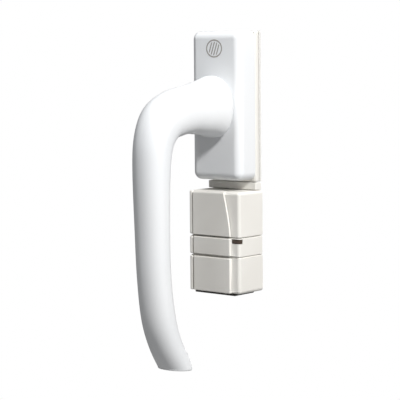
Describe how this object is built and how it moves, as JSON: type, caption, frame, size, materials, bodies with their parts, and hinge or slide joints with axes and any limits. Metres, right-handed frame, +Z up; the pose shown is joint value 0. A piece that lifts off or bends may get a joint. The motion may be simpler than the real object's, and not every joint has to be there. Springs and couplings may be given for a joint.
{
  "type": "window handle with position sensor",
  "caption": "Tilt-and-turn window handle: a curved lever on a rectangular rosette, over a back plate with a sensor module in stacked segments.",
  "frame": {"origin": "the spindle's axis on the mounting face, at the back of the gasket", "axes": "+Z up along the rosette, +Y into the sash along the spindle, +X to the right seen from the room"},
  "size_m": [0.0308, 0.0698, 0.1577],
  "materials": {
    "white_coat": "white semi-gloss powder coat",
    "cream_plastic": "cream satin plastic",
    "dark_plastic": "dark brown plastic",
    "dark_window": "dark tinted gloss",
    "foam": "closed-cell foam",
    "zinc": "die-cast zinc",
    "plated_steel": "zinc-plated steel",
    "spring_steel": "bright spring steel",
    "bearing_plastic": "natural acetal",
    "board": "green solder mask",
    "chip": "black moulded",
    "contact_metal": "plated brass",
    "magnet": "nickel-plated",
    "lamp": "clear resin"
  },
  "bodies": {
    "base": {"sealing_gasket": "foam", "mounting_plate": "cream_plastic", "rosette_base": "zinc", "rosette_cover": "white_coat", "neck_bush": "bearing_plastic", "detent_spring_left": "spring_steel", "detent_spring_right": "spring_steel", "module_chassis": "cream_plastic", "upper_cover": "cream_plastic", "middle_band": "cream_plastic", "status_window": "dark_window", "circuit_board": "board", "radio_module": "chip", "status_lamp": "lamp", "battery_holder": "chip", "coin_cell": "plated_steel", "contact_negative": "contact_metal", "contact_positive": "contact_metal", "sensor_board": "board", "hall_sensor_top": "chip", "hall_sensor_middle": "chip", "hall_sensor_bottom": "chip", "ribbon_cable": "bearing_plastic", "housing_screw_left": "plated_steel", "housing_screw_right": "plated_steel"},
    "handle": {"handle_lever": "white_coat", "spindle": "plated_steel", "spindle_pin": "plated_steel", "detent_disc": "zinc", "retaining_ring": "spring_steel", "sensor_rotor": "bearing_plastic", "rotor_magnet": "magnet"},
    "battery_cover": {"battery_cover": "cream_plastic", "bottom_plate": "dark_plastic"}
  },
  "joints": [
    {"name": "handle_turn", "type": "hinge", "parent": "base", "child": "handle", "pos_m": [0, 0, 0], "axis": [0, -1, 0], "range_deg": [0, 180], "deforming": ["detent_spring_left", "detent_spring_right"]},
    {"name": "battery_cover_slide", "type": "slide", "parent": "base", "child": "battery_cover", "axis": [0, 0, -1], "range_m": [0, 0.02]}
  ]
}
